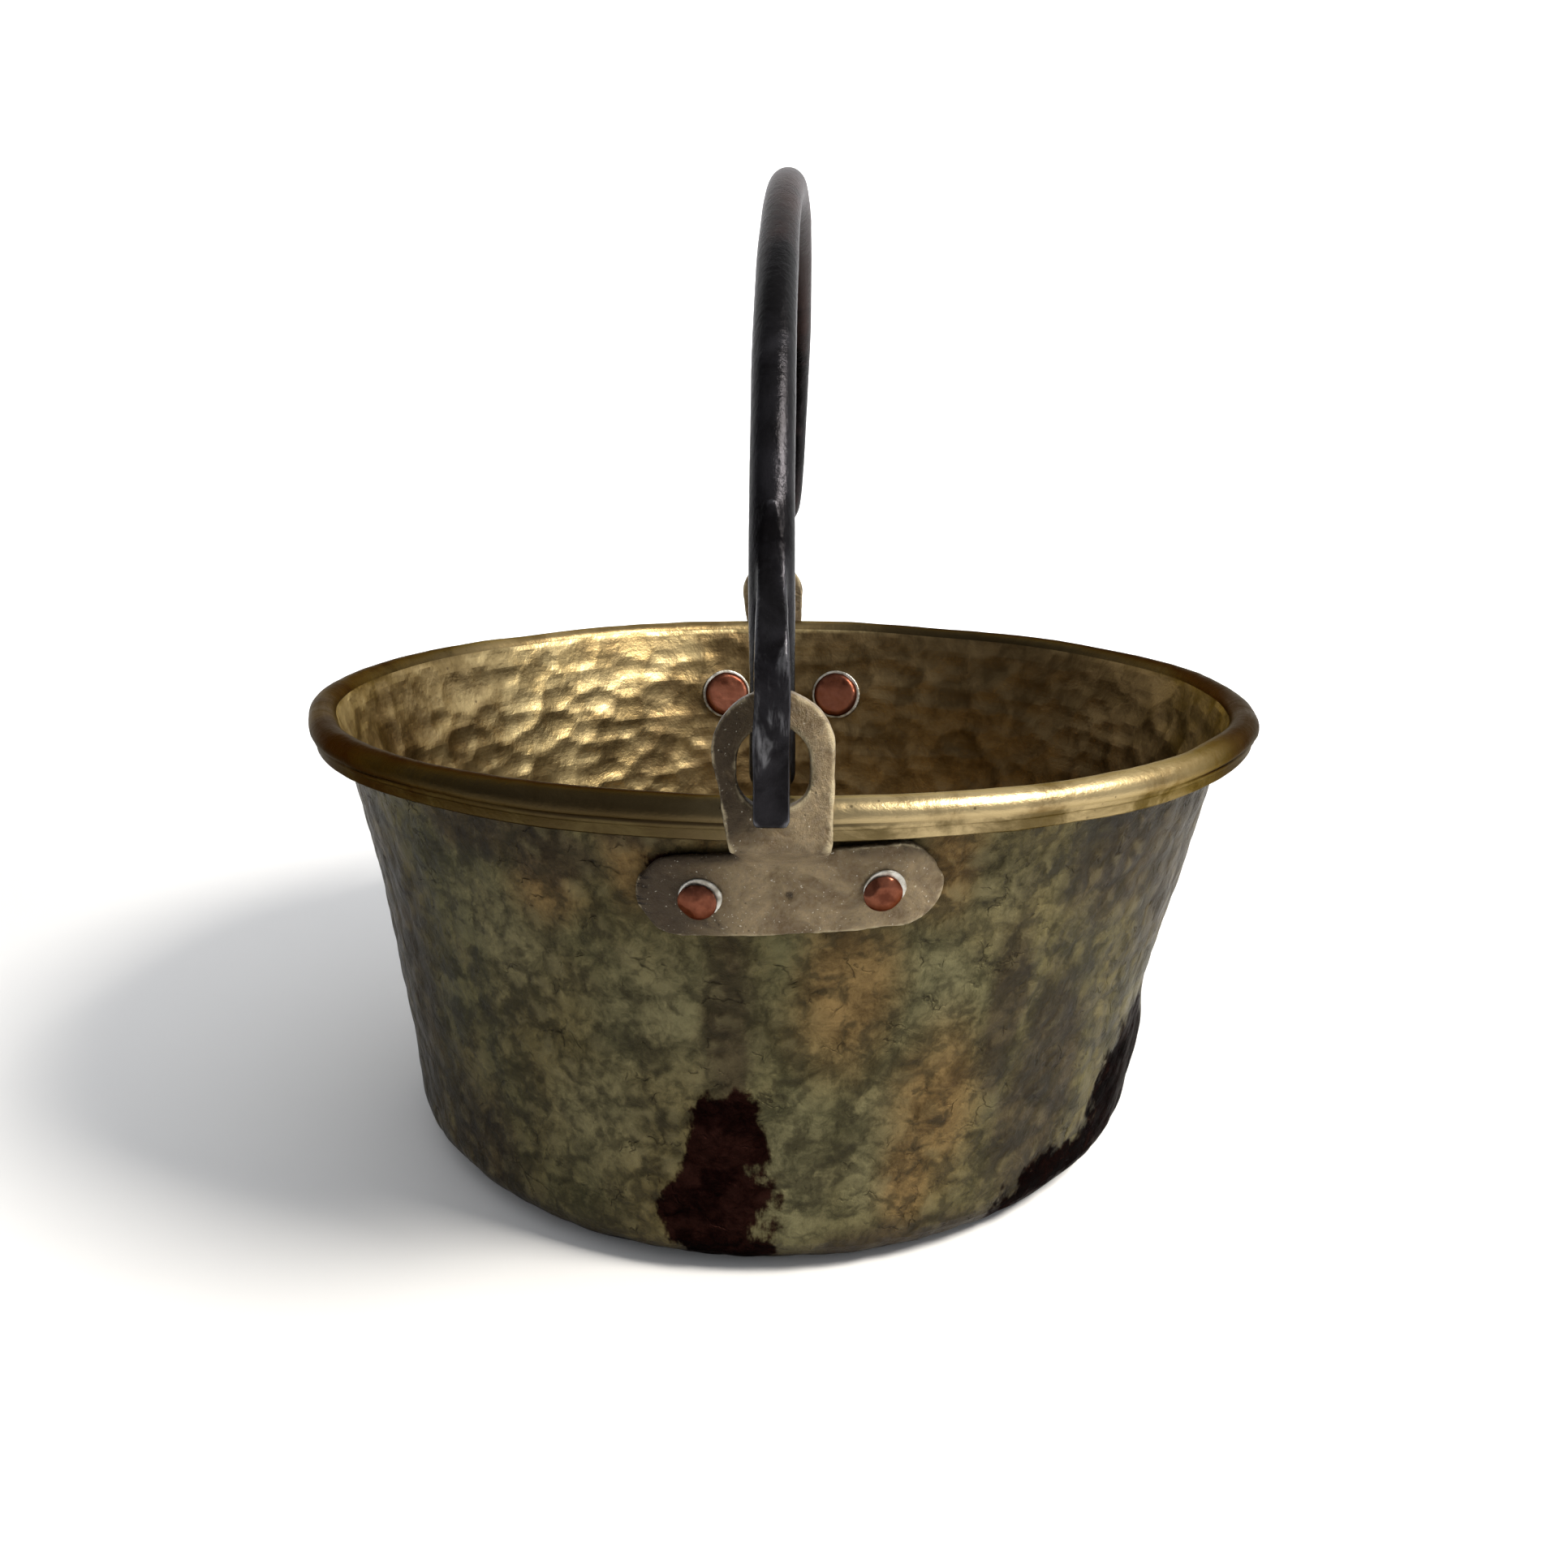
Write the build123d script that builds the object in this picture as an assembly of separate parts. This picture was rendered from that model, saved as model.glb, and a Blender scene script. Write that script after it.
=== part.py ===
from build123d import *
import os
from math import asin, atan2, cos, degrees, hypot, pi, radians, sin, sqrt

# Hammered brass cooking pan with a swinging forged iron bail, in millimetres, +Z up.
#
# The pan is one raised sheet whose rim is curled round an iron wire. Two cast lugs are riveted
# to the wall under the rim, crank out round the curl and end in a ring. Each end of the bail
# passes out through a ring and is folded back up, as a flat tapering tongue, against the bar.
#
# The origin is the centre of the flat base. The lugs stand near the Y axis, the front one at -Y.

# --- Driving dimensions ---------------------------------------------------------------------
RIM_DIAMETER = 300.0        # over the curled rim
RIM_TOP = 141.0             # height of the pan
SHEET = 1.2                 # thickness of the raised brass
CURL_RADIUS = 4.2           # outside of the curl
CURL_END_DEG = -50.0        # where the curl stops and the lip turns down
LIP_DROP = 2.4              # the strip of sheet that shows under the curl
WIRE_PLAY = 0.05            # between the wire and the sheet round it
WIRE_BUTT_DEG = 1.0         # the gap where the ends of the rim wire meet
BASE_FLAT_RADIUS = 108.7    # flat part of the base
CORNER_RADIUS = 14.0        # outside of the bend between base and wall
WALL_CURVE = 720.0          # radius of the wall's slight flare, centred outside the pan

PLATE_WIDTH = 72.8          # lug plate, along the wall
PLATE_HEIGHT = 22.4
PLATE_THICKNESS = 3.5
PLATE_BELOW_TOP = {"front": 24.6, "back": 31.2}    # from the rim's top to the plate's middle
PLATE_ASIDE = 3.6           # the plate's middle is this far to one side of the ring's
PLATE_TILT_DEG = {"front": 3.2, "back": 0.0}
PLATE_PLAY = 0.1            # between the plate and the wall

STEM_CLEARANCE = 0.4        # between the curl and the stem that passes it
STEM_THICKNESS = 4.0
STEM_FOOT_LEFT = -9.1       # the stem's edges where it meets the plate
STEM_FOOT_RIGHT = 12.7
RING_RADIUS = 13.4          # outside of the ring
RING_ABOVE_TOP = 12.0       # from the rim's top to the centre of the ring's outside
HOLE_WIDTH = 16.0
HOLE_HEIGHT = 19.0
HOLE_ABOVE_TOP = 8.3        # the hole sits lower than the ring's outside
LUG_TURN = {"front": -0.53, "back": 1.8}    # degrees that each lug stands off the Y axis

RIVET_SPACING = {"front": 41.6, "back": 49.0}
SHANK_RADIUS = 1.85
SHANK_PLAY = 0.05
PEENED_RADIUS = 4.7         # hammered head, outside
PEENED_HEIGHT = 2.6
INNER_HEAD_RADIUS = 9.5     # broad head, inside
INNER_HEAD_HEIGHT = 3.2
INNER_HEAD_ROUND = 2.2
WASHER = 0.8
OUTER_WASHER_RADIUS = 5.4
INNER_WASHER_RADIUS = 10.6
INNER_SEAT = 0.5            # a flat washer stands off the hollow wall by this much
OUTER_SEAT = 0.15

BAR_RADIUS = 5.1            # the bail's round bar
BAR_CLEARANCE = 0.5         # between the bar, laid flat, and the rim
RING_TO_BAR = 0.8           # between the ring's inner face and the bar
ARCH_RISE = 1.4             # the arch's centre is this far above the pivot
ARCH_HEIGHT = 141.7         # from the arch's centre to the bar's, a little under a half circle
FRONT_BOW = -1.3            # how the arch bows to one side: from its front leg,
MIDDLE_BOW = 2.6            # over its top,
BACK_BOW = 11.9             # to its back leg
HINGE_X = -1.8              # the bail hangs a little to one side of the rings' middles
ARCH_POINTS = 11
FOOT_DROP = 3.9             # the bar's rounded end, below the pivot
FOOT_ROUND = 3.2
CROSSING_HEIGHT = 7.0       # the bar's flattened section where it passes through the ring
CROSSING_ROUND = 1.5
TONGUE_WIDTH = 7.8
TONGUE_THICKNESS = 5.2
TONGUE_TIP_WIDTH = 2.6
TONGUE_TOP = 59.5           # above the pivot
TONGUE_BELOW_PIVOT = 9.0
TONGUE_CLEARANCE = 0.8      # between the ring's outer face and the tongue
TONGUE_CORNER = 1.6

# --- Places that follow from them -----------------------------------------------------------
CURL_CENTRE = (RIM_DIAMETER / 2 - CURL_RADIUS, RIM_TOP - CURL_RADIUS)
WIRE_SIDE = CURL_RADIUS - SHEET
CORNER_CENTRE = (BASE_FLAT_RADIUS, CORNER_RADIUS)
STEM_INNER = RIM_DIAMETER / 2 + STEM_CLEARANCE
STEM_OUTER = STEM_INNER + STEM_THICKNESS
PLATE_Z = {side: RIM_TOP - drop for side, drop in PLATE_BELOW_TOP.items()}
PIVOT_Z = RIM_TOP + BAR_CLEARANCE + BAR_RADIUS
LEG_RADIUS = STEM_INNER - RING_TO_BAR - BAR_RADIUS
SIDES = ("front", "back")


def on_side(thing, side):
    """Moves a thing made for the front lug to its place on a side. The back is a mirror image."""
    if side == "back":
        thing = mirror(thing, about=Plane.XZ)
    return thing.rotate(Axis.Z, LUG_TURN[side])


def meeting_point(a, radius_a, b, radius_b):
    """Where a circle round a meets a circle round b, on the side away from the axis."""
    gap = hypot(b[0] - a[0], b[1] - a[1])
    along = (radius_a**2 - radius_b**2 + gap**2) / (2 * gap)
    across = sqrt(radius_a**2 - along**2)
    ux, uz = (b[0] - a[0]) / gap, (b[1] - a[1]) / gap
    return (a[0] + ux * along + uz * across, a[1] + uz * along - ux * across)


# The wall's arc is tangent to the corner below it and to the curl above it.
WALL_CENTRE = meeting_point(
    CORNER_CENTRE, WALL_CURVE + CORNER_RADIUS, CURL_CENTRE, WALL_CURVE - WIRE_SIDE
)


def wall_radius(z):
    """Radius of the wall's outer face at height z."""
    return WALL_CENTRE[0] - sqrt(WALL_CURVE**2 - (z - WALL_CENTRE[1]) ** 2)


def wall_slope(z):
    """Angle of the wall from upright at height z, in radians."""
    return asin((z - WALL_CENTRE[1]) / WALL_CURVE)


def section_point(r, z):
    """A point of a radial section, in the XZ plane."""
    return Vector(r, 0, z)


def arc_round(centre, radius, start, end):
    """An arc of a radial section round centre, through the given angles in radians."""
    points = [
        section_point(centre[0] + radius * cos(a), centre[1] + radius * sin(a))
        for a in (start, (start + end) / 2, end)
    ]
    return ThreePointArc(*points)


def revolved(edges):
    """The solid of revolution about Z of the face that these edges enclose."""
    return revolve(make_face(Wire(edges)), Axis.Z)


def closing_line(first, second):
    """A line from the end of one edge to the start of another."""
    return Line(first @ 1, second @ 0)


# --- The pan --------------------------------------------------------------------------------
def pan_section():
    """The edges of the sheet's radial section, from the base's middle and back to it."""
    towards_wall = (WALL_CENTRE[0] - CORNER_CENTRE[0], WALL_CENTRE[1] - CORNER_CENTRE[1])
    foot = atan2(towards_wall[1], towards_wall[0])
    towards_curl = (CURL_CENTRE[0] - WALL_CENTRE[0], CURL_CENTRE[1] - WALL_CENTRE[1])
    neck = atan2(towards_curl[1], towards_curl[0])
    curl_end = radians(CURL_END_DEG)

    corner_out = arc_round(CORNER_CENTRE, CORNER_RADIUS, -pi / 2, foot)
    wall_out = arc_round(WALL_CENTRE, WALL_CURVE, foot + pi, neck)
    curl_under = arc_round(CURL_CENTRE, WIRE_SIDE, neck, curl_end)
    curl_over = arc_round(CURL_CENTRE, CURL_RADIUS, curl_end, neck)
    wall_in = arc_round(WALL_CENTRE, WALL_CURVE + SHEET, neck, foot + pi)
    corner_in = arc_round(CORNER_CENTRE, CORNER_RADIUS - SHEET, foot, -pi / 2)

    lip_top = curl_over @ 0
    lip_out = lip_top - Vector(0.1 * LIP_DROP, 0, LIP_DROP)
    lip_in = lip_out - Vector(SHEET, 0, 0)
    lip = Polyline(curl_under @ 1, lip_in, lip_out, lip_top)

    middle_out, middle_in = section_point(0, 0), section_point(0, SHEET)
    return [
        Line(middle_out, corner_out @ 0),
        corner_out,
        wall_out,
        curl_under,
        *lip.edges(),
        curl_over,
        wall_in,
        corner_in,
        Line(corner_in @ 1, middle_in),
        Line(middle_in, middle_out),
    ]


def pan_shell():
    """The raised sheet, with its rivet holes."""
    shell = revolved(pan_section())
    for side in SIDES:
        for frame in rivet_planes(side):
            shell -= frame * Cylinder(SHANK_RADIUS + SHANK_PLAY, 12)
    return shell


def rim_wire():
    """The iron wire inside the curl, bent to a ring with its ends butted."""
    section = Location(section_point(*CURL_CENTRE), (90, 0, 0)) * Circle(WIRE_SIDE - WIRE_PLAY)
    return revolve(section, Axis.Z, 360 - WIRE_BUTT_DEG).rotate(Axis.Z, WIRE_BUTT_DEG / 2)


# --- Rivets and their washers ---------------------------------------------------------------
def rivet_planes(side):
    """Frames on the wall's outer face at a lug's two rivets, with Z pointing outwards."""
    planes = []
    tilt = radians(PLATE_TILT_DEG[side])
    for sense in (-1, 1):
        along = sense * RIVET_SPACING[side] / 2
        x, z = PLATE_ASIDE + along * cos(tilt), PLATE_Z[side] + along * sin(tilt)
        radius = wall_radius(z)
        azimuth, slope = asin(x / radius), wall_slope(z)
        facing = 1 if side == "front" else -1
        outwards = Vector(
            sin(azimuth) * cos(slope), -facing * cos(azimuth) * cos(slope), -sin(slope)
        )
        origin = Vector(radius * sin(azimuth), -facing * radius * cos(azimuth), z)
        turn = LUG_TURN[side]
        planes.append(Plane(origin.rotate(Axis.Z, turn), z_dir=outwards.rotate(Axis.Z, turn)))
    return planes


OUTER_WASHER_FOOT = PLATE_PLAY + PLATE_THICKNESS + OUTER_SEAT
INNER_WASHER_FOOT = -(SHEET + INNER_SEAT)


def washer(frame, foot, radius):
    """A flat ring round the shank, from foot outwards if foot is positive, else inwards."""
    middle = foot + (WASHER / 2 if foot > 0 else -WASHER / 2)
    ring = Cylinder(radius, WASHER) - Cylinder(SHANK_RADIUS + SHANK_PLAY, 2 * WASHER)
    return frame * (Pos(0, 0, middle) * ring)


def rivet(frame):
    """A copper rivet: a broad head inside the pan, a shank, and a peened head outside."""
    outer, inner = OUTER_WASHER_FOOT + WASHER, INNER_WASHER_FOOT - WASHER
    crown = inner - INNER_HEAD_HEIGHT
    broad = [
        Line((0, 0, crown), (INNER_HEAD_RADIUS - INNER_HEAD_ROUND, 0, crown)),
        ThreePointArc(
            (INNER_HEAD_RADIUS - INNER_HEAD_ROUND, 0, crown),
            (
                INNER_HEAD_RADIUS - INNER_HEAD_ROUND * (1 - sin(pi / 4)),
                0,
                crown + INNER_HEAD_ROUND * (1 - cos(pi / 4)),
            ),
            (INNER_HEAD_RADIUS, 0, crown + INNER_HEAD_ROUND),
        ),
    ]
    peened = TangentArc(
        (0, 0, outer + PEENED_HEIGHT),
        (PEENED_RADIUS, 0, outer + PEENED_HEIGHT * 0.35),
        tangent=(1, 0, 0),
    )
    step = Polyline(
        broad[1] @ 1,
        (INNER_HEAD_RADIUS, 0, inner),
        (SHANK_RADIUS, 0, inner),
        (SHANK_RADIUS, 0, outer),
        (PEENED_RADIUS, 0, outer),
        peened @ 1,
    )
    return frame * revolved([*broad, *step.edges(), peened, Line(peened @ 0, broad[0] @ 0)])


# --- Lugs -----------------------------------------------------------------------------------
def wall_band(middle, near, far):
    """The wall's shape about a plate's middle height, between two distances outside the wall."""
    low, high = middle - PLATE_HEIGHT, middle + PLATE_HEIGHT
    angles = [pi - asin((z - WALL_CENTRE[1]) / WALL_CURVE) for z in (low, high)]
    inner = arc_round(WALL_CENTRE, WALL_CURVE - near, *angles)
    outer = arc_round(WALL_CENTRE, WALL_CURVE - far, *reversed(angles))
    return revolved([inner, closing_line(inner, outer), outer, closing_line(outer, inner)])


def seen_from_front(outline):
    """Extrudes an outline drawn as x and height through the front lug's depth."""
    depth = RIM_DIAMETER
    return extrude(Plane.XZ.offset(depth / 3) * outline, depth / 3)


def lug_plate(side):
    """The round-ended plate, bent to the wall."""
    outline = SlotOverall(PLATE_WIDTH, PLATE_HEIGHT, rotation=PLATE_TILT_DEG[side])
    band = wall_band(PLATE_Z[side], PLATE_PLAY, PLATE_PLAY + PLATE_THICKNESS)
    return band & seen_from_front(Pos(PLATE_ASIDE, PLATE_Z[side]) * outline)


def lug_stem(side):
    """The stem that cranks out round the curl and carries the ring."""
    plate_top = PLATE_Z[side] + PLATE_HEIGHT / 2
    crease = plate_top - 3.5
    elbow = plate_top + 2.6
    ring_centre = RIM_TOP + RING_ABOVE_TOP
    top = ring_centre + 2 * RING_RADIUS
    profile = make_face(
        Polyline(
            (wall_radius(crease - 4) + PLATE_THICKNESS / 2, 0, crease - 4),
            (wall_radius(plate_top) + 0.8, 0, plate_top),
            (STEM_INNER, 0, elbow),
            (STEM_INNER, 0, top),
            (STEM_OUTER, 0, top),
            (STEM_OUTER, 0, elbow + 0.6),
            (wall_radius(crease) + PLATE_THICKNESS, 0, crease),
            close=True,
        )
    )
    elbows = [v for v in profile.vertices() if abs(v.Z - elbow) < 1]
    profile = fillet(elbows, 3.0)
    slab = extrude(profile.rotate(Axis.Z, -90), 2 * RING_RADIUS, both=True)

    stem = Polygon(
        (-RING_RADIUS, ring_centre),
        (STEM_FOOT_LEFT, plate_top),
        (STEM_FOOT_LEFT, crease - 4),
        (STEM_FOOT_RIGHT, crease - 4),
        (STEM_FOOT_RIGHT, plate_top),
        (RING_RADIUS, ring_centre),
        align=None,
    )
    ring = Pos(0, ring_centre) * Circle(RING_RADIUS)
    hole = Pos(0, RIM_TOP + HOLE_ABOVE_TOP) * SlotOverall(HOLE_HEIGHT, HOLE_WIDTH, rotation=90)
    return slab & seen_from_front(stem + ring - hole)


def lug(side):
    """A cast lug, with its two rivet holes. The plate sits to the right of the ring."""
    casting = on_side(lug_plate(side) + lug_stem(side), side)
    for frame in rivet_planes(side):
        casting -= frame * Cylinder(SHANK_RADIUS + SHANK_PLAY, 30)
    return casting


# --- The bail -------------------------------------------------------------------------------
def arch_point(angle):
    """A point of the bar's centreline, from the front leg at 0 to the back leg at pi."""
    past = (1 - cos(angle)) / 2
    bow = FRONT_BOW * (1 - past) ** 2 + 2 * MIDDLE_BOW * past * (1 - past) + BACK_BOW * past**2
    return Vector(
        bow * sin(angle),
        -LEG_RADIUS * cos(angle),
        PIVOT_Z + ARCH_RISE + ARCH_HEIGHT * sin(angle),
    )


def arch():
    """The round bar between its two feet."""
    points = [arch_point(pi * i / (ARCH_POINTS - 1)) for i in range(ARCH_POINTS)]
    line = Spline(*points, tangents=[(0, 0, 1), (0, 0, -1)])
    return sweep(Plane(line @ 0, z_dir=line % 0) * Circle(BAR_RADIUS), path=line)


def foot():
    """The front end of the round bar, from where the arch starts to just below the pivot."""
    bar = Cylinder(BAR_RADIUS, ARCH_RISE + FOOT_DROP, align=(Align.CENTER, Align.CENTER, Align.MIN))
    bar = fillet(bar.edges().sort_by(Axis.Z)[:1], FOOT_ROUND)
    return Pos(0, -LEG_RADIUS, PIVOT_Z - FOOT_DROP) * bar


def hook(lean):
    """What the foot runs into: the flattened crossing, and the tongue folded up outside.

    lean is how far the tongue's tip leans to the right, to lie on the bar.
    """
    face_in = STEM_OUTER + TONGUE_CLEARANCE
    face_out = face_in + TONGUE_THICKNESS
    tip = PIVOT_Z + TONGUE_TOP
    straight = RIM_TOP + RING_ABOVE_TOP + RING_RADIUS + 2
    bottom = PIVOT_Z - TONGUE_BELOW_PIVOT
    rise = asin((TONGUE_TOP - ARCH_RISE) / ARCH_HEIGHT)
    bar_face = LEG_RADIUS * cos(rise) + BAR_RADIUS * cos(rise)

    front = Spline(
        section_point(face_out, straight),
        section_point(bar_face + 8.0, tip - 17),
        section_point(bar_face + 1.8, tip),
        tangents=[(0, 0, 1), (-0.35, 0, 1)],
    )
    back = Spline(
        section_point(bar_face - 1.5, tip),
        section_point(bar_face + 4.0, tip - 17),
        section_point(face_in, straight),
        tangents=[(0.35, 0, -1), (0, 0, -1)],
    )
    side = make_face(
        Wire(
            [
                Line(section_point(face_out, bottom), section_point(face_out, straight)),
                front,
                closing_line(front, back),
                back,
                *Polyline(
                    back @ 1, section_point(face_in, bottom), section_point(face_out, bottom)
                ).edges(),
            ]
        )
    )
    side = fillet([v for v in side.vertices() if abs(v.Z - bottom) < 0.1], TONGUE_CORNER)
    slab = extrude(side.rotate(Axis.Z, -90), TONGUE_WIDTH, both=True)

    half, tip_half = TONGUE_WIDTH / 2, TONGUE_TIP_WIDTH / 2
    outline = Polygon(
        (-half, bottom),
        (half, bottom),
        (half, straight + 3),
        (half * 0.76 + 0.6 * lean, tip - 15),
        (tip_half + lean, tip - 1),
        (-tip_half + lean, tip - 1),
        (-half * 0.76 + 0.6 * lean, tip - 15),
        (-half, straight + 3),
        align=None,
    )
    outline = fillet(
        [v for v in outline.vertices() if v.Y < bottom + 0.1 or v.Y > tip - 2], 1.2
    )
    tongue = slab & seen_from_front(outline)

    reach = face_in + TONGUE_THICKNESS / 2 - LEG_RADIUS
    crossing = Box(TONGUE_WIDTH, reach, CROSSING_HEIGHT)
    crossing = fillet(crossing.edges().filter_by(Axis.Y), CROSSING_ROUND)
    return tongue + Pos(0, -LEG_RADIUS - reach / 2, PIVOT_Z) * crossing


def bail():
    """The forged bar, with a hook at each end."""
    reach = asin(TONGUE_TOP / ARCH_HEIGHT)
    front_end = foot() + hook(arch_point(reach).X)
    back_end = foot() + hook(-arch_point(pi - reach).X)
    return Pos(HINGE_X, 0, 0) * (arch() + front_end + back_end.rotate(Axis.Z, 180))


# --- Writing the pieces ---------------------------------------------------------------------
def pieces():
    """Every node's name and shape."""
    found = {"pan_shell": pan_shell(), "rim_wire": rim_wire(), "bail": bail()}
    for side in SIDES:
        found[f"lug_{side}"] = lug(side)
        for hand, frame in zip(("left", "right"), rivet_planes(side)):
            place = f"{side}_{hand}"
            found[f"rivet_{place}"] = rivet(frame)
            found[f"washer_outer_{place}"] = washer(
                frame, OUTER_WASHER_FOOT, OUTER_WASHER_RADIUS
            )
            found[f"washer_inner_{place}"] = washer(
                frame, INNER_WASHER_FOOT, INNER_WASHER_RADIUS
            )
    return found


os.makedirs("parts", exist_ok=True)
for node, shape in pieces().items():
    export_step(shape, f"parts/{node}.step")
    print(node, len(shape.solids()), round(shape.volume), shape.is_valid)
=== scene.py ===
from math import atan2, cos, hypot, pi, radians, sin, sqrt

import bpy
import numpy as np
from mathutils import Matrix, Vector


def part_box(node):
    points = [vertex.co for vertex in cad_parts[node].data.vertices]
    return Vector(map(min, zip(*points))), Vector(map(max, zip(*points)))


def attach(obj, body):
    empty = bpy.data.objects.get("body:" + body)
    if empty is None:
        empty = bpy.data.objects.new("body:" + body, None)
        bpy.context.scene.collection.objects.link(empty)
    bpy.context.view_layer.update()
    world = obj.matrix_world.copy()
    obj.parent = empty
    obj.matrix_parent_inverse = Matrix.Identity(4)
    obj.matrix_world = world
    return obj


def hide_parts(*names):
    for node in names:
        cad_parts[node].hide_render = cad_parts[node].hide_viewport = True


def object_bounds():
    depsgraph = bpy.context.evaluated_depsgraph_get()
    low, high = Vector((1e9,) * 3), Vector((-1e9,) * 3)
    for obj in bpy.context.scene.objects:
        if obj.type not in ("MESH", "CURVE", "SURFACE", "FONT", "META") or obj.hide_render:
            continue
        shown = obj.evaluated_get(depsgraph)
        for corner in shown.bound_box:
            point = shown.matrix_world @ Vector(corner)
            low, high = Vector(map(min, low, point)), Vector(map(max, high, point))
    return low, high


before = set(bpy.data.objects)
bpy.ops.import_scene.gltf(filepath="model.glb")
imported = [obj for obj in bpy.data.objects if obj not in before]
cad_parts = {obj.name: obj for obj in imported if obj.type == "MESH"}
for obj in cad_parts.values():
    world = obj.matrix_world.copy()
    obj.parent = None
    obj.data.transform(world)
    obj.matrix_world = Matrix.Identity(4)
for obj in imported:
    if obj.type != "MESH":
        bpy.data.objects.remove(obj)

CAD_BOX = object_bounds()

# --- The pan's section, in metres: what the CAD model's boxes don't say ----------------------
RIM_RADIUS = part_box("pan_shell")[1][0]
PAN_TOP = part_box("pan_shell")[1][2]
SHEET = 0.0012
CURL_RADIUS = 0.0042
CURL_END = radians(-50)
CREASE = radians(-24)       # where the lip was turned in under the curl
LIP_DROP = 0.0024
BASE_FLAT_RADIUS = 0.1087
CORNER_RADIUS = 0.014
WALL_CURVE = 0.720
WIRE_SIDE = CURL_RADIUS - SHEET
CURL_CENTRE = (RIM_RADIUS - CURL_RADIUS, PAN_TOP - CURL_RADIUS)
CORNER_CENTRE = (BASE_FLAT_RADIUS, CORNER_RADIUS)
COLUMNS = 480

# Hammer blows on each face: width, height and depth.
OUTSIDE_BLOW = (0.0092, 0.0080)
OUTSIDE_DEPTH = 0.00045
INSIDE_BLOW = (0.0125, 0.0078)
INSIDE_DEPTH = 0.00056
# The pan leans this way below the rim, and has moved 0.86 of it at the base.
BASE_ASIDE = -0.0030

SIDES = ("front", "back")
HANDS = ("left", "right")

# Marks on the outside: degrees round from the front lug, height above the base as a share of
# the pan's, half-width in degrees and half-height as a share.
SOOT_AND_SHADOW = [
    (-6.2, 0.12, 6.8, 0.17),
    (-5.5, 0.30, 4.6, 0.11),
    # Mostly a painted shadow: the black band under the rim above the front lug's left plate, with
    # some soot.
    (-9, 0.85, 4.5, 0.04),
    (61, 0.18, 12.0, 0.20),
    (43, 0.05, 13.0, 0.09),
    (-30, 0.00, 26.0, 0.03),
]
BROWN = [
    (-33, 0.90, 10, 0.07),
    (-23, 0.86, 6, 0.06),
    (-14, 0.92, 6, 0.05),
    (45, 0.86, 13, 0.20),
    (62, 0.80, 15, 0.30),
    (-62, 0.45, 14, 0.55),
    (-45, 0.12, 12, 0.17),
    (27, 0.52, 3, 0.19),
    (36, 0.30, 8, 0.26),
    (-5, 0.56, 3, 0.22),
    (18, 0.04, 14, 0.06),
]
WARM = [
    (-14.5, 0.86, 3.4, 0.10),
    (17, 0.87, 4, 0.11),
    (8, 0.62, 5, 0.13),
    (20, 0.38, 5, 0.17),
    (17, 0.20, 3, 0.14),
    (-2, 0.92, 10, 0.04),
    (-25, 0.78, 5, 0.07),
]
PALE = [
    (-14, 0.56, 9, 0.17),
    (-21, 0.33, 8, 0.13),
    (2, 0.22, 4.5, 0.13),
    (13, 0.27, 4, 0.14),
    (19, 0.60, 5, 0.14),
    (24, 0.80, 6, 0.12),
    (-31, 0.66, 8, 0.15),
]
# Dents: degrees, height share, width in metres, depth in metres.
DENTS = [
    (72, 0.44, 0.026, 0.0026),
    (71, 0.25, 0.014, -0.0012),
    (-72, 0.84, 0.030, 0.0012),
    (128, 0.35, 0.028, 0.0016),
    (-140, 0.24, 0.024, 0.0014),
    (176, 0.60, 0.034, 0.0012),
    (28, 0.40, 0.030, -0.0007),
    (-30, 0.28, 0.026, 0.0006),
]

# The lug's plate, from the bottom of the lug
PLATE_TOP = 0.0235
PUNCH_HEIGHT = 0.0122
# How far the outer washers show past the rivet heads, to the right and up
WASHER_SHIFT = (0.0006, 0, 0.0007)
WASHER_SCALE = 0.95

# The camera, and the floor that reaches well past every view
LENS = 28.74
CAMERA_ASIDE = 0.00085
CAMERA_BACK = 0.4137
CAMERA_RISE = 0.0791        # over the centre of the rim's curl
CAMERA_DOWN = 0.2627
CAMERA_ROLL = 0.0064
FLOOR_REACH = 12.0


# --- Numbers over whole meshes ---------------------------------------------------------------
def lumps(points, size, seed):
    """Smooth noise from -1 to 1, with lumps of about that size."""
    table = np.random.default_rng(seed).uniform(-1, 1, 4096)
    places = points / size
    cell = np.floor(places).astype(np.int64)
    part = places - cell
    part = part * part * (3 - 2 * part)
    total = np.zeros(len(points))
    for corner in np.ndindex(2, 2, 2):
        at = cell + np.array(corner)
        key = (at[:, 0] * 73856093 ^ at[:, 1] * 19349663 ^ at[:, 2] * 83492791) & 4095
        total += table[key] * np.prod(np.where(corner, part, 1 - part), axis=1)
    return total


def step(value, low, high):
    """0 below low, 1 above high, and smooth between."""
    share = np.clip((value - low) / (high - low), 0, 1)
    return share * share * (3 - 2 * share)


def angle_gap(angle, other):
    """The signed gap between two angles in degrees."""
    return (angle - other + 180) % 360 - 180


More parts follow.
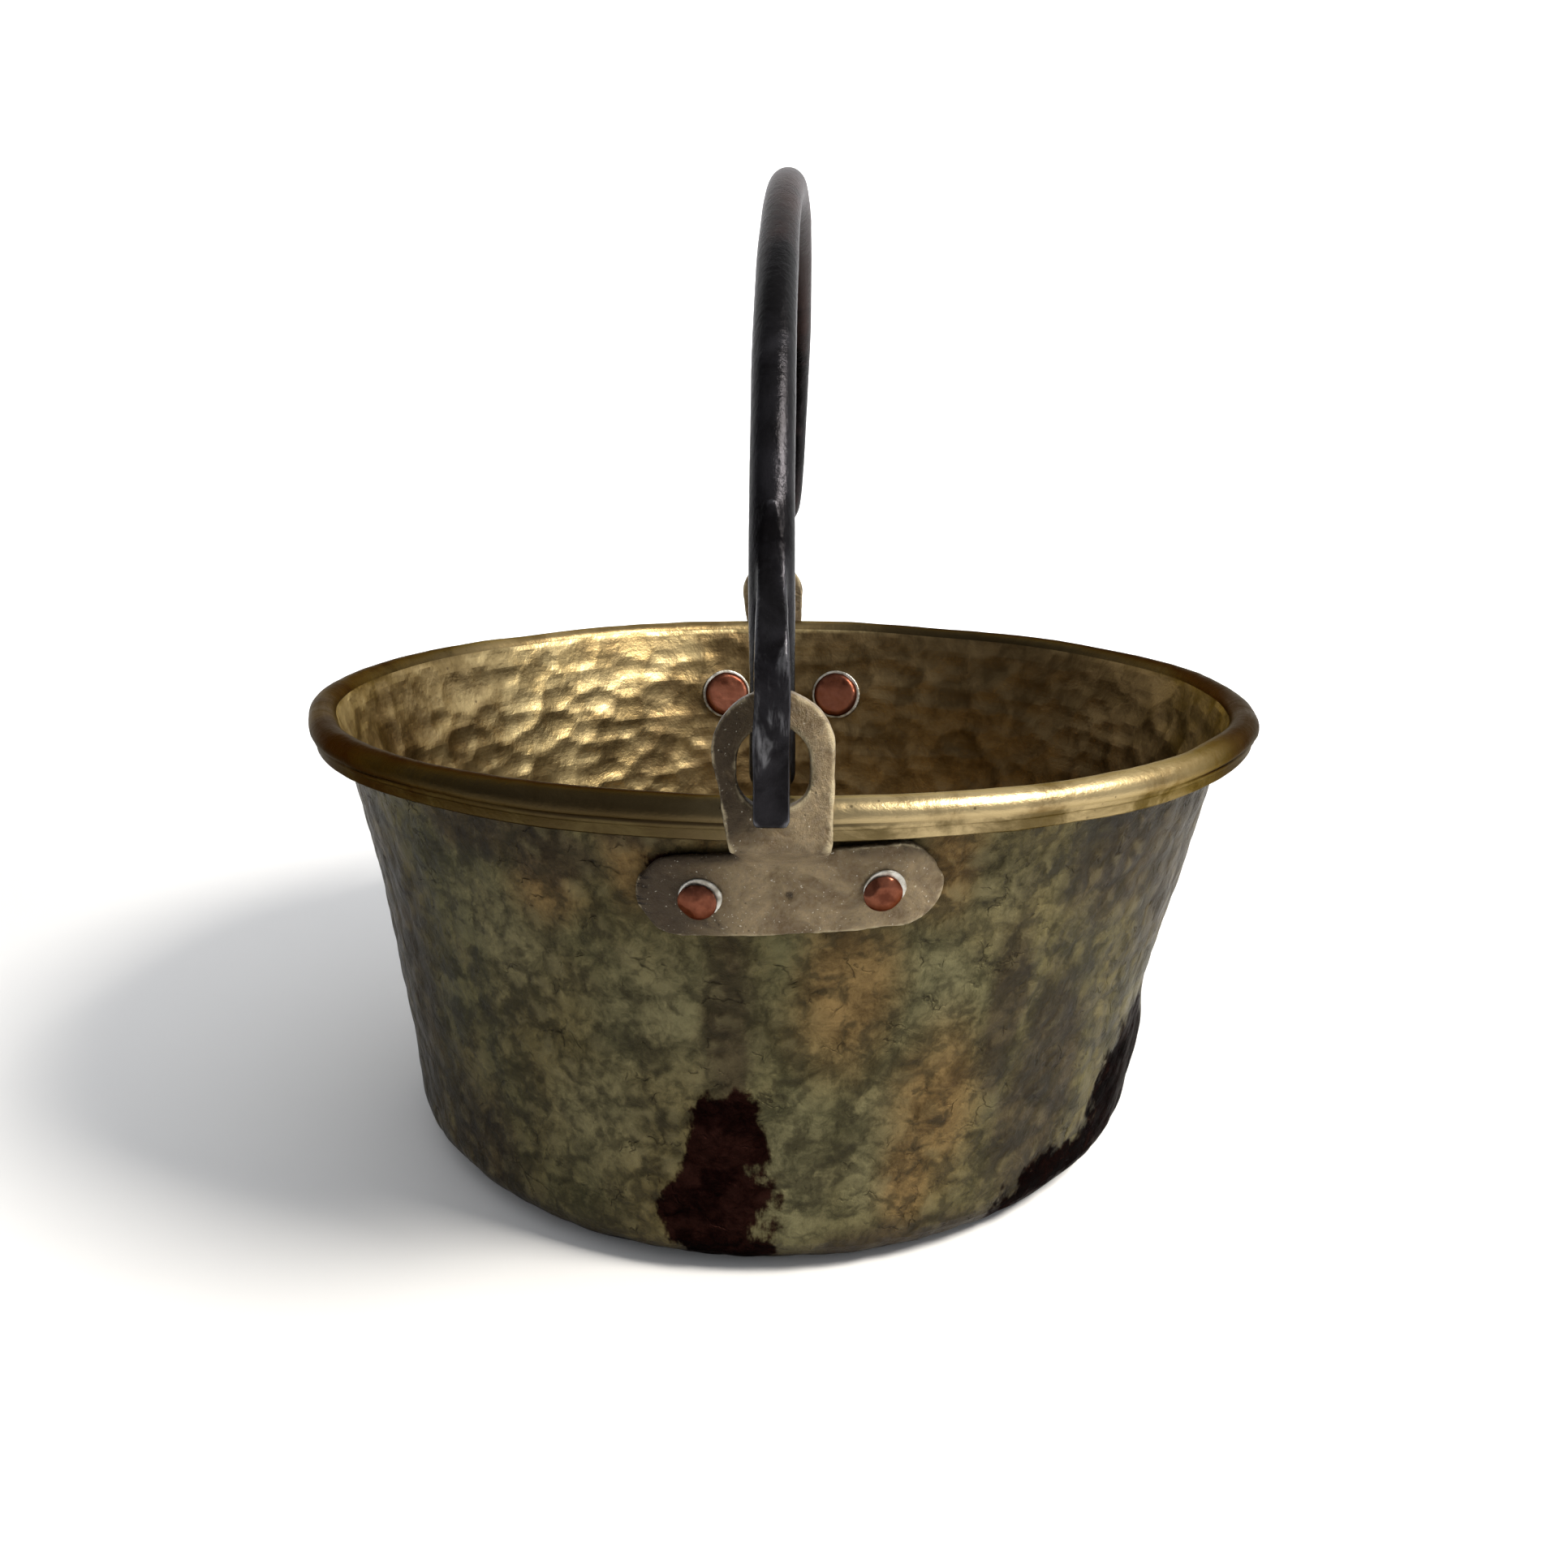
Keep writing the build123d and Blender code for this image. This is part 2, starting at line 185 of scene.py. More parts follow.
def hammer_marks(along, turn, radius, row_radius, blow, seed, lean=0.0):
    """How near each point is to the edge of its blow, in rows of blows, and the blow's tone.

    The first is 0 in a blow's middle and about 1 between blows. The second is a random share
    for each blow.
    along is the distance over the sheet from its middle, turn the share of a full turn, and
    row_radius gives the radius for a distance. blow is a mark's width and its row's height.
    lean tips each blow, so that its far edge is the deeper one, as in fish scales.
    """
    wide, tall = blow
    rows = int(along.max() / tall) + 3
    middle = (np.arange(rows) + 0.5) * tall
    counts = np.maximum(5, np.round(2 * pi * row_radius(middle) / wide)).astype(int)
    random = np.random.default_rng(seed)
    aside, up, depth, size, shade = random.uniform(-0.5, 0.5, (5, rows, counts.max()))
    lowest = np.full(along.shape, np.inf)
    tone = np.zeros(along.shape)
    own_row = np.floor(along / tall).astype(int)
    for row_step in (-2, -1, 0, 1, 2):
        row = np.clip(own_row + row_step, 0, rows - 1)
        count = counts[row]
        stagger = 0.5 * (row % 2)
        own = np.floor(turn * count - stagger).astype(int)
        for col_step in (-2, -1, 0, 1, 2):
            mark = (own + col_step) % count
            centre = (own + col_step + 0.5 + stagger + 0.75 * aside[row, mark]) / count
            across = ((turn - centre + 0.5) % 1 - 0.5) * 2 * pi * radius
            over = along - middle[row] - 0.75 * tall * up[row, mark]
            reach = 1 + 0.5 * size[row, mark]
            bowl = (across / wide / reach) ** 2 + (over / tall / reach) ** 2
            stands = 1.6 * bowl + 0.7 * depth[row, mark] + lean * over / tall
            tone = np.where(stands < lowest, shade[row, mark] + 0.5, tone)
            lowest = np.minimum(lowest, stands)
    return np.clip(lowest + 0.25, 0, 1.2), tone


def nearest_patch(angle, share, patches):
    """1 in the middle of a patch, 0.5 at its edge, 0 well outside, for the nearest patch."""
    best = np.zeros(angle.shape)
    for at, height, half, half_height in patches:
        away = np.hypot(angle_gap(angle, at) / half, (share - height) / half_height)
        best = np.maximum(best, 1 - 0.5 * away)
    return best


def unseen_patches(seed, count, highest=0.95):
    """More patches of the same kind, for the sides and the back."""
    random = np.random.default_rng(seed)
    spread = random.uniform([68, 0.02, 3, 0.06], [292, highest, 11, 0.24], (count, 4))
    return [tuple(row) for row in spread]


# --- Objects ---------------------------------------------------------------------------------
def new_object(name, mesh):
    """A linked object with a smooth mesh."""
    piece = bpy.data.objects.new(name, mesh)
    bpy.context.scene.collection.objects.link(piece)
    mesh.polygons.foreach_set("use_smooth", np.ones(len(mesh.polygons), bool))
    return piece


def attribute(mesh, name, values):
    """Stores a number for each vertex, for the materials to read."""
    layer = mesh.attributes.new(name, "FLOAT", "POINT")
    layer.data.foreach_set("value", np.asarray(values, dtype=np.float32))


def coordinates(mesh):
    """The vertices as an array."""
    flat = np.empty(3 * len(mesh.vertices), np.float32)
    mesh.vertices.foreach_get("co", flat)
    return flat.reshape(-1, 3).astype(float)


def normals(mesh):
    """The vertex normals as an array."""
    flat = np.empty(3 * len(mesh.vertices), np.float32)
    mesh.vertex_normals.foreach_get("vector", flat)
    return flat.reshape(-1, 3).astype(float)


def move_vertices(mesh, points):
    """Writes the vertices back."""
    mesh.vertices.foreach_set("co", points.astype(np.float32).ravel())
    mesh.update()


def relaxed(mesh, rounds):
    """The vertices after each has moved to the middle of its neighbours a few times."""
    ends = np.empty(2 * len(mesh.edges), np.int32)
    mesh.edges.foreach_get("vertices", ends)
    first, second = ends.reshape(-1, 2).T
    smooth = coordinates(mesh)
    count = np.bincount(ends, minlength=len(smooth))
    for _ in range(rounds):
        for axis in range(3):
            near = smooth[:, axis]
            total = np.bincount(first, near[second], len(near))
            total += np.bincount(second, near[first], len(near))
            smooth[:, axis] = total / count
    return smooth


def worn_edges(mesh, rounds=6):
    """Stores how far each vertex stands out over its surroundings, in metres, as "edge"."""
    stands = coordinates(mesh) - relaxed(mesh, rounds)
    attribute(mesh, "edge", np.einsum("ij,ij->i", stands, normals(mesh)))


def skin_of(node, name, voxel, rounding):
    """A fine even skin over a copy of a CAD node's shape, with its edges rounded by wear."""
    piece = new_object(name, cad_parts[node].data.copy())
    piece.data.materials.clear()
    remesh = piece.modifiers.new("skin", "REMESH")
    remesh.mode = "VOXEL"
    remesh.voxel_size = voxel
    smooth = piece.modifiers.new("rounding", "SMOOTH")
    smooth.factor = 0.5
    smooth.iterations = rounding
    graph = bpy.context.evaluated_depsgraph_get()
    mesh = bpy.data.meshes.new_from_object(piece.evaluated_get(graph), depsgraph=graph)
    piece.modifiers.clear()
    piece.data = mesh
    mesh.polygons.foreach_set("use_smooth", np.ones(len(mesh.polygons), bool))
    return piece


def stands_for(piece, node, body, material):
    """Gives the piece its body and its material, in the node's place."""
    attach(piece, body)
    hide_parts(node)
    if not piece.data.materials:
        piece.data.materials.append(material)


# --- Materials -------------------------------------------------------------------------------
class Shader:
    """One material and short calls that add nodes to it. Sizes are in metres."""

    def __init__(self, name, roughness, metallic=1.0):
        self.material = bpy.data.materials.new(name)
        self.material.use_nodes = True
        self.tree = self.material.node_tree
        self.surface = self.tree.nodes["Principled BSDF"]
        self.surface.inputs["Metallic"].default_value = metallic
        self.surface.inputs["Roughness"].default_value = roughness
        self.place = self.add("ShaderNodeTexCoord").outputs["Object"]

    def put(self, socket, value):
        """Links a socket to another, or sets its value."""
        if isinstance(value, bpy.types.NodeSocket):
            self.tree.links.new(value, socket)
        else:
            socket.default_value = value

    def add(self, kind, inputs=None, **settings):
        """A new node with these settings and inputs."""
        node = self.tree.nodes.new(kind)
        for key, value in settings.items():
            setattr(node, key, value)
        for key, value in (inputs or {}).items():
            self.put(node.inputs[key], value)
        return node

    def surface_input(self, name, value):
        self.put(self.surface.inputs[name], value)

    def number(self, name):
        """A number stored on the mesh."""
        return self.add("ShaderNodeAttribute", attribute_name=name).outputs["Fac"]

    def stretched(self, scale):
        """The place, scaled along each axis."""
        return self.add(
            "ShaderNodeVectorMath", {0: self.place, 1: scale}, operation="MULTIPLY"
        ).outputs[0]

    def warped(self, size, amount, place=None):
        """The place, pushed about by a noise of that size."""
        inputs = {"Vector": place or self.place, "Scale": 1 / size, "Detail": 3.0}
        push = self.add("ShaderNodeTexNoise", inputs).outputs["Color"]
        push = self.add(
            "ShaderNodeVectorMath", {0: push, 1: (0.5, 0.5, 0.5)}, operation="SUBTRACT"
        ).outputs[0]
        inputs = {0: push, 1: (amount, amount, amount), 2: place or self.place}
        return self.add("ShaderNodeVectorMath", inputs, operation="MULTIPLY_ADD").outputs[0]

    def noise(self, size, detail=4.0, rough=0.55, twist=0.0, place=None):
        """Noise from 0 to 1 with lumps of about that size."""
        inputs = {"Vector": place or self.place, "Scale": 1 / size, "Detail": detail}
        inputs.update({"Roughness": rough, "Distortion": twist})
        return self.add("ShaderNodeTexNoise", inputs).outputs["Fac"]

    def cells(self, size, feature="F1", place=None, random=1.0):
        """Distance in a cell pattern of that size, squarer where it is less random."""
        inputs = {"Vector": place or self.place, "Scale": 1 / size, "Randomness": random}
        return self.add("ShaderNodeTexVoronoi", inputs, feature=feature).outputs["Distance"]

    def maths(self, operation, first, second=0.0):
        return self.add(
            "ShaderNodeMath", {0: first, 1: second}, operation=operation
        ).outputs[0]

    def step(self, value, low, high):
        """0 below low, 1 above high, and smooth between. low may be the larger."""
        inputs = {"Value": value, "From Min": low, "From Max": high}
        return self.add(
            "ShaderNodeMapRange", inputs, interpolation_type="SMOOTHSTEP"
        ).outputs["Result"]

    def range(self, value, low, high):
        """Spreads a value of 0 to 1 over low to high."""
        return self.add(
            "ShaderNodeMapRange", {"Value": value, "To Min": low, "To Max": high}
        ).outputs["Result"]

    def mix(self, share, first, second, blend="MIX"):
        """Two colours mixed by a share."""
        node = self.add("ShaderNodeMix", data_type="RGBA", blend_type=blend)
        colours = [c if isinstance(c, bpy.types.NodeSocket) else (*c, 1) for c in (first, second)]
        for socket, value in zip((0, 6, 7), (share, *colours)):
            self.put(node.inputs[socket], value)
        return node.outputs[2]

    def patch(self, name, rag, soft=0.06, level=0.5):
        """A stored patch with its edge made ragged by a noise."""
        raised = self.maths("ADD", self.number(name), self.maths("SUBTRACT", rag, 0.5))
        return self.step(raised, level - soft, level + soft)

    def bump(self, height, distance, under=None, strength=1.0):
        inputs = {"Height": height, "Distance": distance, "Strength": strength}
        if under:
            inputs["Normal"] = under
        return self.add("ShaderNodeBump", inputs).outputs["Normal"]


def patinated_brass():
    """The outside: dark olive patina over brass, with soot, brown runs and orange stains, a
    painted shadow under the rim above the front lug, dirt and painted shade in the valleys between
    the hammer domes, and painted highlights on their crowns.
    """
    s = Shader("patinated_brass", 0.4, 0.4)
    s.surface_input("Specular IOR Level", 0.12)
    wander = s.warped(0.012, 0.008)
    broad = s.noise(0.050, 5, 0.6, 0.5, s.stretched((1, 1, 0.5)))
    middle = s.noise(0.010, 5, 0.6, 0.4, wander)
    mottle = s.noise(0.0034, 8, 0.74, 0.3, wander)
    fine = s.noise(0.0022, 4, 0.7)
    ragged = s.noise(0.024, 7, 0.72, 0.3, s.stretched((1, 1, 0.45)))
    calm = s.noise(0.040, 3, 0.5, 0.3, s.stretched((1, 1, 0.5)))
    nibbled = s.noise(0.011, 7, 0.66, 0.2, s.stretched((1, 1, 0.6)))
    ridge = s.number("ridge")
    tone = s.number("tone")

    shade = s.maths("ADD", s.maths("MULTIPLY", mottle, 0.62), s.maths("MULTIPLY", middle, 0.20))
    shade = s.maths("ADD", shade, s.maths("MULTIPLY", tone, 0.18))
    shade = s.step(shade, 0.35, 0.67)
    colour = s.mix(shade, (0.036, 0.028, 0.012), (0.138, 0.108, 0.045))
    green = s.mix(shade, (0.036, 0.036, 0.018), (0.122, 0.118, 0.060))
    colour = s.mix(s.maths("MULTIPLY", s.step(broad, 0.34, 0.68), 0.75), colour, green)
    pale = s.mix(shade, (0.060, 0.054, 0.028), (0.190, 0.172, 0.092))
    colour = s.mix(s.maths("MULTIPLY", s.patch("pale", calm, 0.42), 0.60), colour, pale)
    warm = s.mix(shade, (0.078, 0.044, 0.016), (0.235, 0.142, 0.054))
    colour = s.mix(s.maths("MULTIPLY", s.patch("warm", calm, 0.34), 0.70), colour, warm)
    brown = s.mix(shade, (0.020, 0.014, 0.008), (0.060, 0.044, 0.025))
    colour = s.mix(s.maths("MULTIPLY", s.patch("brown", ragged, 0.20), 0.85), colour, brown)
    # Dark valleys between the hammer domes: dirt and painted shade.
    cobbles = s.cells(0.0078, "DISTANCE_TO_EDGE", s.warped(0.006, 0.0075), 0.75)
    broken = s.maths("MULTIPLY", s.maths("SUBTRACT", s.noise(0.008, 4, 0.65), 0.46), 1.5)
    valley_dirt_and_shade = s.step(s.maths("ADD", cobbles, broken), 0.20, -0.06)
    colour = s.mix(s.maths("MULTIPLY", valley_dirt_and_shade, 0.60), colour, (0.026, 0.022, 0.012))
    # Paler crowns on the domes: a painted highlight.
    painted_crown_highlight = s.maths("MULTIPLY", s.step(cobbles, 0.12, 0.42), s.step(broad, 0.62, 0.42))
    colour = s.mix(s.maths("MULTIPLY", painted_crown_highlight, 0.35), colour, (0.200, 0.172, 0.090))
    foot = s.step(s.maths("ADD", s.number("foot"), s.maths("MULTIPLY", ragged, 0.3)), 0.85, 1.15)
    colour = s.mix(s.maths("MULTIPLY", foot, 0.7), colour, (0.030, 0.020, 0.012))

    creases = s.cells(0.0090, "DISTANCE_TO_EDGE", s.warped(0.007, 0.009, wander))
    spread = s.noise(0.010, 3, 0.6, 0.5)
    crease = s.maths("MULTIPLY", s.step(creases, 0.045, 0.0), s.step(spread, 0.55, 0.66))
    colour = s.mix(s.maths("MULTIPLY", crease, 0.45), colour, (0.014, 0.010, 0.006))
    # Soot, and one painted shadow under the rim above the front lug, darken the colour and its
    # grazing reflection.
    soot_and_shadow = s.patch("soot_and_shadow", nibbled, 0.06)
    soot_and_shadow_colour = s.mix(shade, (0.0045, 0.0014, 0.0011), (0.0210, 0.0085, 0.0065))
    colour = s.mix(soot_and_shadow, colour, soot_and_shadow_colour)
    s.surface_input("Base Color", colour)
    s.surface_input("Metallic", s.range(soot_and_shadow, 0.45, 0.95))
    s.surface_input("Specular Tint", s.mix(soot_and_shadow, (0.27, 0.26, 0.23), (0.05, 0.03, 0.025)))
    rough = s.maths("ADD", s.range(mottle, 0.20, 0.44), s.maths("MULTIPLY", crease, 0.2))
    s.surface_input("Roughness", rough)
    relief = s.bump(s.maths("MULTIPLY", ridge, -1.0), 0.0007)
    relief = s.bump(s.step(cobbles, -0.02, 0.36), 0.0005, relief, 0.8)
    relief = s.bump(middle, 0.0008, relief, 0.5)
    relief = s.bump(mottle, 0.0007, relief)
    relief = s.bump(fine, 0.00016, relief, 0.8)
    s.surface_input("Normal", s.bump(s.maths("MULTIPLY", crease, -1.0), 0.0004, relief))
    return s.material


def golden_brass():
    """The inside: yellow brass, browner with tarnish and painted shade towards the right and the
    left side, and darker towards the bottom.
    """
    s = Shader("golden_brass", 0.33)
    s.surface_input("Specular Tint", (0.55, 0.48, 0.34, 1.0))
    broad = s.noise(0.040, 5, 0.6, 0.7)
    middle = s.noise(0.010, 4, 0.6, 0.5)
    fine = s.noise(0.0022, 4, 0.65)
    tarnish_and_shade = s.number("tarnish_and_shade")
    ridge = s.number("ridge")
    tone = s.number("tone")

    shade = s.maths("ADD", s.maths("MULTIPLY", tone, 0.25), s.maths("MULTIPLY", middle, 0.85))
    colour = s.mix(s.step(shade, 0.35, 0.75), (0.36, 0.265, 0.120), (0.58, 0.46, 0.235))
    colour = s.mix(s.maths("MULTIPLY", s.step(ridge, 0.6, 1.1), 0.5), colour, (0.20, 0.14, 0.06))
    # Brown where the stored share is high: tarnish and painted shade.
    blotches = s.maths("ADD", tarnish_and_shade, s.maths("MULTIPLY", s.maths("SUBTRACT", broad, 0.5), 1.2))
    dark = s.mix(s.step(shade, 0.35, 0.75), (0.060, 0.037, 0.016), (0.145, 0.094, 0.042))
    colour = s.mix(s.maths("MULTIPLY", s.step(blotches, 0.22, 0.80), 0.92), colour, dark)
    speck = s.maths("MULTIPLY", s.step(s.cells(0.006), 0.13, 0.05), s.step(broad, 0.5, 0.62))
    colour = s.mix(s.maths("MULTIPLY", speck, 0.7), colour, (0.07, 0.045, 0.025))
    s.surface_input("Base Color", colour)
    rough = s.maths("ADD", s.range(middle, 0.25, 0.40), s.maths("MULTIPLY", tarnish_and_shade, 0.14))
    s.surface_input("Roughness", rough)
    relief = s.bump(ridge, 0.0006, strength=0.8)
    relief = s.bump(middle, 0.0008, relief, 0.5)
    s.surface_input("Normal", s.bump(fine, 0.00018, relief, 0.8))
    return s.material


def rim_brass():
    """The curled rim: the brightest brass, rubbed along its length, dark on its shaded side with
    tarnish and painted shade, with a painted highlight at the front right and painted shade in its
    crease.
    """
    s = Shader("rim_brass", 0.3)
    s.surface_input("Specular Tint", (0.34, 0.32, 0.28, 1.0))
    along = s.add("ShaderNodeCombineXYZ", {0: s.number("round"), 1: s.number("over")}).outputs[0]
    along = s.add(
        "ShaderNodeVectorMath", {0: along, 1: (60, 700, 1)}, operation="MULTIPLY"
    ).outputs[0]
    drawn = s.noise(1.0, 5, 0.65, 0.4, along)
    broad = s.noise(0.024, 6, 0.65, 0.6)
    fine = s.noise(0.0022, 4, 0.65)
    tarnish_and_shade = s.number("tarnish_and_shade")
    colour = s.mix(s.step(broad, 0.35, 0.65), (0.170, 0.118, 0.052), (0.285, 0.212, 0.102))
    colour = s.mix(
        s.maths("MULTIPLY", s.step(drawn, 0.50, 0.72), 0.14), colour, (0.120, 0.080, 0.036)
    )
    # Dark where the stored share is high: tarnish, painted shade and a painted dark reflection at
    # the front left.
    blotches = s.maths("ADD", tarnish_and_shade, s.maths("MULTIPLY", s.maths("SUBTRACT", broad, 0.5), 0.9))
    colour = s.mix(
        s.maths("MULTIPLY", s.step(blotches, 0.15, 0.75), 0.92), colour, (0.036, 0.024, 0.010)
    )
    # A painted highlight on the front right of the rim, where the key light falls.
    bright = s.maths("MULTIPLY", s.number("lit_front_highlight"), s.step(broad, 0.30, 0.56))
    colour = s.mix(s.maths("MULTIPLY", bright, 0.7), colour, (0.43, 0.34, 0.185))
    under = s.maths("MULTIPLY", s.number("lip"), s.step(broad, 0.62, 0.40))
    colour = s.mix(s.maths("MULTIPLY", under, 0.8), colour, (0.085, 0.064, 0.028))
    pits = s.maths("MULTIPLY", s.step(s.cells(0.0032), 0.16, 0.06), s.step(broad, 0.48, 0.56))
    colour = s.mix(s.maths("MULTIPLY", pits, 0.7), colour, (0.05, 0.035, 0.018))
    # Painted shade in the crease under the curl.
    colour = s.mix(s.step(s.number("crease"), 0.12, 0.6), colour, (0.018, 0.012, 0.006))
    s.surface_input("Base Color", colour)
    s.surface_input("Roughness", s.range(drawn, 0.29, 0.47))
    relief = s.bump(broad, 0.0010, strength=0.5)
    relief = s.bump(drawn, 0.0001, relief, 0.5)
    s.surface_input("Normal", s.bump(fine, 0.00016, relief, 0.8))
    return s.material


def cast_bronze():
    """The lugs: sand-cast, grainy and dull, darker to the left with dirt and painted shade, with a
    painted shadow under the rim, rubbed along the edges, dark in hollows with dirt and painted
    shade, and with painted glints.
    """
    s = Shader("cast_bronze_worn", 0.5, 0.6)
    s.surface_input("Specular IOR Level", 0.3)
    broad = s.noise(0.009, 6, 0.66, 0.5)
    grain = s.noise(0.0012, 6, 0.75)
    edge = s.number("edge")
    dirt_and_shade = s.number("dirt_and_shade")
    colour = s.mix(s.step(broad, 0.36, 0.64), (0.122, 0.084, 0.045), (0.290, 0.222, 0.128))
    colour = s.mix(
        s.maths("MULTIPLY", s.step(grain, 0.42, 0.64), 0.7), colour, (0.20, 0.155, 0.102)
    )
    # Darker where the stored share is high: dirt and painted shade to the left, painted shadow
    # under the rim.
    blotches = s.maths("ADD", dirt_and_shade, s.maths("MULTIPLY", s.maths("SUBTRACT", broad, 0.5), 1.3))
    colour = s.mix(
        s.maths("MULTIPLY", s.step(blotches, 0.20, 0.74), 0.90), colour, (0.042, 0.029, 0.018)
    )
    rub = s.maths("ADD", edge, s.maths("MULTIPLY", s.maths("SUBTRACT", grain, 0.5), 0.0004))
    # Worn edges are lighter, less so on the left, which leaves a painted highlight on the right
    # edges.
    rub = s.maths("SUBTRACT", rub, s.maths("MULTIPLY", dirt_and_shade, 0.00010))
    bright = s.maths("MULTIPLY", s.step(rub, 0.00012, 0.00042), s.step(broad, 0.36, 0.54))
    colour = s.mix(s.maths("MULTIPLY", bright, 0.9), colour, (0.50, 0.42, 0.27))
    # Dark in hollows: dirt and painted shade.
    colour = s.mix(s.step(rub, -0.00006, -0.00026), colour, (0.030, 0.021, 0.013))
    # Painted glints: near-white specks over the grain.
    painted_glint = s.step(s.noise(0.00075, 2, 0.5), 0.67, 0.75)
    colour = s.mix(s.maths("MULTIPLY", painted_glint, 0.7), colour, (0.62, 0.58, 0.48))
    pit = s.maths("MULTIPLY", s.step(s.cells(0.0021), 0.17, 0.06), s.step(broad, 0.50, 0.60))
    stripes = s.noise(0.0009, 2, 0.5, 0.6, s.stretched((0.12, 0.12, 1)))
    nick = s.maths("MULTIPLY", s.step(stripes, 0.52, 0.60), s.number("nick"))
    cut = s.maths("MAXIMUM", s.maths("MULTIPLY", pit, 0.6), nick)
    colour = s.mix(cut, colour, (0.018, 0.013, 0.009))
    s.surface_input("Base Color", colour)
    s.surface_input("Roughness", s.range(grain, 0.34, 0.58))
    relief = s.bump(s.maths("MULTIPLY", cut, -1.0), 0.0004)
    relief = s.bump(broad, 0.0030, relief, 0.5)
    s.surface_input("Normal", s.bump(grain, 0.00060, relief))
    return s.material


def copper():
    """The rivets: darker on the outer heads than on the inner ones, as painted shade."""
    s = Shader("rivet_copper", 0.4)
    broad = s.noise(0.004, 4, 0.55)
    fine = s.noise(0.0012, 4, 0.6)
    edge = s.number("edge")
    outside = s.number("outside")
    colour = s.mix(s.step(broad, 0.32, 0.68), (0.215, 0.076, 0.046), (0.265, 0.100, 0.062))
    dark = s.mix(s.step(broad, 0.35, 0.65), (0.082, 0.026, 0.015), (0.165, 0.058, 0.034))
    # The outer heads are darker: painted shade.
    colour = s.mix(outside, colour, dark)
    colour = s.mix(s.step(edge, 0.00008, 0.00032), colour, (0.36, 0.155, 0.100))
    colour = s.mix(s.step(edge, -0.00003, -0.00020), colour, (0.06, 0.024, 0.016))
    s.surface_input("Base Color", colour)
    s.surface_input("Roughness", s.range(fine, 0.30, 0.46))
    s.surface_input("Specular Tint", (0.5, 0.36, 0.30, 1.0))
    rough = s.bump(broad, s.maths("MULTIPLY", outside, 0.0004), strength=0.5)
    s.surface_input("Normal", s.bump(fine, 0.00005, rough))
    return s.material


def dull_tin():
    """The washers under the rivet heads."""
    s = Shader("dull_tin", 0.45)
    broad = s.noise(0.003, 4, 0.6)
    colour = s.mix(s.step(broad, 0.35, 0.7), (0.56, 0.55, 0.51), (0.27, 0.25, 0.21))
    s.surface_input("Base Color", colour)
    s.surface_input("Roughness", s.range(broad, 0.35, 0.6))
    s.surface_input("Normal", s.bump(broad, 0.0002, strength=0.6))
    return s.material


def black_iron():
    """The bail: forged and blackened, rusty towards the top, scratched where it rubs."""
    s = Shader("black_iron", 0.35, 0.6)
    s.surface_input("Specular IOR Level", 0.4)
    s.surface_input("Specular Tint", (0.21, 0.20, 0.22, 1.0))
    broad = s.noise(0.016, 5, 0.6, 0.5)
    fine = s.noise(0.0014, 5, 0.7)
    drawn = s.noise(0.0030, 5, 0.65, 0.3, s.stretched((1, 1, 0.16)))
    edge = s.number("edge")
    rust = s.number("rust")
    flat = s.number("flat")
    colour = s.mix(s.step(broad, 0.35, 0.65), (0.0045, 0.0040, 0.0043), (0.0170, 0.0162, 0.0185))
    blotches = s.maths("ADD", rust, s.maths("MULTIPLY", s.maths("SUBTRACT", broad, 0.5), 1.4))
    colour = s.mix(
        s.maths("MULTIPLY", s.step(blotches, 0.25, 0.85), 0.9), colour, (0.040, 0.021, 0.017)
    )
    rub = s.maths("ADD", edge, s.maths("MULTIPLY", s.maths("SUBTRACT", drawn, 0.5), 0.0006))
    colour = s.mix(s.step(rub, 0.00022, 0.00070), colour, (0.13, 0.13, 0.145))
    scraped = s.noise(0.013, 4, 0.65, 0.6, s.stretched((1, 1, 0.6)))
    scrape = s.maths("MULTIPLY", s.step(scraped, 0.52, 0.66), s.step(drawn, 0.44, 0.62))
    colour = s.mix(
        s.maths("MULTIPLY", s.maths("MULTIPLY", scrape, flat), 0.8), colour, (0.15, 0.15, 0.16)
    )
    s.surface_input("Base Color", colour)
    rough = s.maths("ADD", s.range(fine, 0.13, 0.27), s.maths("MULTIPLY", rust, 0.16))
    s.surface_input("Roughness", rough)
    relief = s.bump(drawn, 0.0004, strength=0.5)
    s.surface_input("Normal", s.bump(fine, 0.00014, relief))
    return s.material


def bare_wire():
    """The wire inside the curl."""
    s = Shader("bare_wire", 0.5)
    broad = s.noise(0.008, 5, 0.6)
    s.surface_input("Base Color", s.mix(broad, (0.05, 0.04, 0.035), (0.13, 0.09, 0.07)))
    s.surface_input("Normal", s.bump(broad, 0.0003))
    return s.material


def pale_sweep():
    """The floor and the sheet behind it, which glows so that it stays white far off."""
    s = Shader("pale_sweep", 0.9, 0.0)
    far = s.step(s.add("ShaderNodeSeparateXYZ", {0: s.place}).outputs["Y"], 0.1, 1.1)
    s.surface_input("Base Color", (0.82, 0.82, 0.82, 1.0))
    s.surface_input("Emission Color", (1.0, 1.0, 1.0, 1.0))
    s.surface_input("Emission Strength", s.maths("MULTIPLY", far, 0.85))
    return s.material


# --- The pan ---------------------------------------------------------------------------------
def meeting_point(a, radius_a, b, radius_b):
    """Where circles round a and b meet, on the side away from the pan's axis."""
    gap = hypot(b[0] - a[0], b[1] - a[1])
    along = (radius_a**2 - radius_b**2 + gap**2) / (2 * gap)
    across = sqrt(radius_a**2 - along**2)
    ux, uz = (b[0] - a[0]) / gap, (b[1] - a[1]) / gap
    return (a[0] + ux * along + uz * across, a[1] + uz * along - ux * across)


def arc(centre, radius, start, end, count):
    """Points of a section's arc, through the given angles."""
    angles = np.linspace(start, end, count)
    return np.stack([centre[0] + radius * np.cos(angles), centre[1] + radius * np.sin(angles)], 1)


